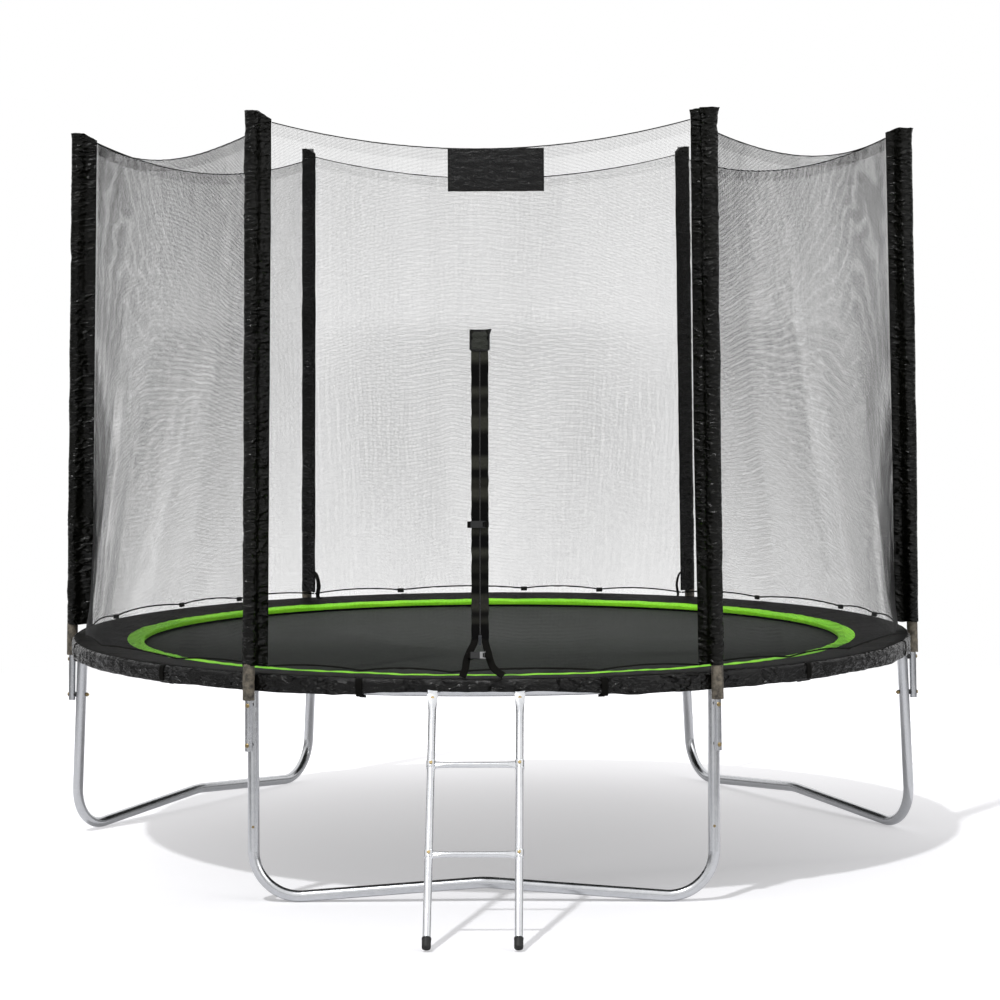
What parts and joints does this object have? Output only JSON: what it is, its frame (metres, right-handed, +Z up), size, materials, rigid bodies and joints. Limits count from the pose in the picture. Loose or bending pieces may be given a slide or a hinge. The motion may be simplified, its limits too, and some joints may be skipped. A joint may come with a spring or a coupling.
{
  "type": "garden trampoline",
  "caption": "Round garden trampoline: sprung mat in a tube ring on U-shaped legs, padded spring cover, net on padded poles with a zipped entrance, and a hook-on ladder.",
  "frame": {"origin": "on the ground under the middle of the mat", "axes": "+Z up, -Y towards the ladder and entrance, +X to the right when facing the entrance"},
  "size_m": [3.1376, 3.6898, 2.5794],
  "materials": {
    "steel_tube": "galvanised, satin",
    "steel_pole": "galvanised, satin",
    "ladder_steel": "bright galvanised",
    "steel_wire": "zinc-plated wire",
    "zinc_fastener": "yellow zinc plate",
    "black_plastic": "moulded, satin",
    "foam": "closed-cell foam, matt",
    "sleeve_vinyl": "coated fabric, glossy and creased",
    "netting": "fine open mesh",
    "webbing": "woven webbing",
    "patch_vinyl": "coated fabric, plain and glossy",
    "mat_cloth": "woven polypropylene, matt",
    "pad_vinyl": "coated fabric, semi-gloss and creased",
    "band_vinyl": "coated fabric, semi-gloss",
    "zip_metal": "black lacquer",
    "rubber_foot": "moulded rubber"
  },
  "bodies": {
    "frame": {"rail_1": "steel_tube", "rail_2": "steel_tube", "rail_3": "steel_tube", "rail_4": "steel_tube", "rail_5": "steel_tube", "rail_6": "steel_tube", "leg_post_1": "steel_tube", "leg_post_2": "steel_tube", "leg_post_3": "steel_tube", "leg_post_4": "steel_tube", "leg_post_5": "steel_tube", "leg_post_6": "steel_tube", "leg_base_front": "steel_tube", "leg_base_right": "steel_tube", "leg_base_left": "steel_tube", "leg_screws": "zinc_fastener", "pole_lower_1": "steel_pole", "pole_lower_2": "steel_pole", "pole_lower_3": "steel_pole", "pole_lower_4": "steel_pole", "pole_lower_5": "steel_pole", "pole_lower_6": "steel_pole", "pole_upper_1": "steel_pole", "pole_upper_2": "steel_pole", "pole_upper_3": "steel_pole", "pole_upper_4": "steel_pole", "pole_upper_5": "steel_pole", "pole_upper_6": "steel_pole", "pole_spacers": "black_plastic", "pole_bolts": "zinc_fastener", "pole_caps": "black_plastic", "pole_foams": "foam", "pole_sleeves": "sleeve_vinyl", "net_panels": "netting", "net_hems": "webbing", "label_patch": "patch_vinyl", "springs": "steel_wire", "spring_pad": "pad_vinyl", "pad_band": "band_vinyl", "pad_ties": "webbing", "zip_tape": "webbing", "entrance_webbing": "webbing", "buckle_sockets": "black_plastic"},
    "mat": {"mat": "mat_cloth", "mat_edge": "webbing", "mat_loops": "webbing", "v_rings": "steel_wire"},
    "ladder": {"ladder_rail_left": "ladder_steel", "ladder_rail_right": "ladder_steel", "ladder_rung_upper": "ladder_steel", "ladder_rung_lower": "ladder_steel", "ladder_hooks": "ladder_steel", "ladder_feet": "rubber_foot", "ladder_bolts": "zinc_fastener"},
    "slider": {"zip_slider": "zip_metal"},
    "pull": {"zip_pull": "zip_metal"},
    "upper_plug": {"buckle_plug_upper": "black_plastic"},
    "lower_plug": {"buckle_plug_lower": "black_plastic"}
  },
  "joints": [
    {"name": "mat_bounce", "type": "slide", "parent": "frame", "child": "mat", "axis": [0, 0, 1], "range_m": [-0.2, 0], "stiffness_N_per_m": 8000, "springref_m": 0.02, "deforming": ["springs"]},
    {"name": "ladder_swing", "type": "hinge", "parent": "frame", "child": "ladder", "pos_m": [0, -1.49944, 0.713], "axis": [-1, 0, 0], "range_deg": [0, 35]},
    {"name": "zip_slide", "type": "slide", "parent": "frame", "child": "slider", "axis": [0, 0.1757, 0.9844], "range_m": [0, 0.915]},
    {"name": "pull_swing", "type": "hinge", "parent": "slider", "child": "pull", "pos_m": [-0.005, -1.46196, 0.88149], "axis": [-1, 0, 0], "range_deg": [0, 120]},
    {"name": "upper_buckle_release", "type": "slide", "parent": "frame", "child": "upper_plug", "axis": [1, 0, 0], "range_m": [0, 0.045]},
    {"name": "lower_buckle_release", "type": "slide", "parent": "frame", "child": "lower_plug", "axis": [1, 0, 0], "range_m": [0, 0.045]}
  ]
}
